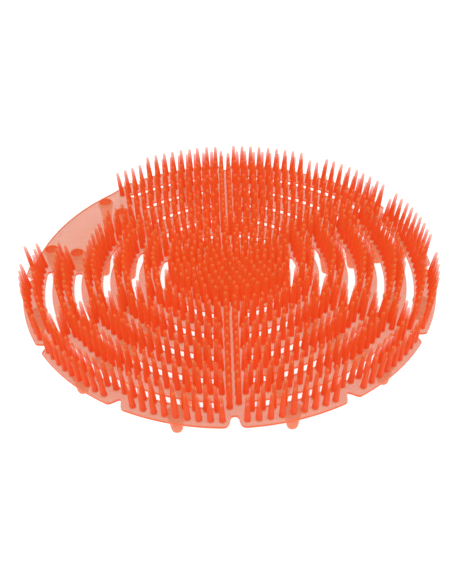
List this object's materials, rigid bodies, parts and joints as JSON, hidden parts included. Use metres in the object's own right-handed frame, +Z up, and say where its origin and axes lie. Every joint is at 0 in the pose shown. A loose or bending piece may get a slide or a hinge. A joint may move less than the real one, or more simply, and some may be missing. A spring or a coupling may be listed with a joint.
{
  "type": "urinal deodorizer screen",
  "caption": "Round soft plastic urinal screen with upright bristles on a slotted disc that stands on short feet and cuts splashing.",
  "frame": {"origin": "on the disc's axis, at the level of the feet's flat tips", "axes": "+Z up through the bristles, -Y toward the deep notch in the front rim, bare area at -X +Y"},
  "size_m": [0.1798, 0.1798, 0.0234],
  "materials": {
    "soft_plastic": "soft translucent orange-red plastic with a satin surface, paler where it is thin"
  },
  "bodies": {
    "root": {"screen": "soft_plastic"}
  },
  "joints": []
}
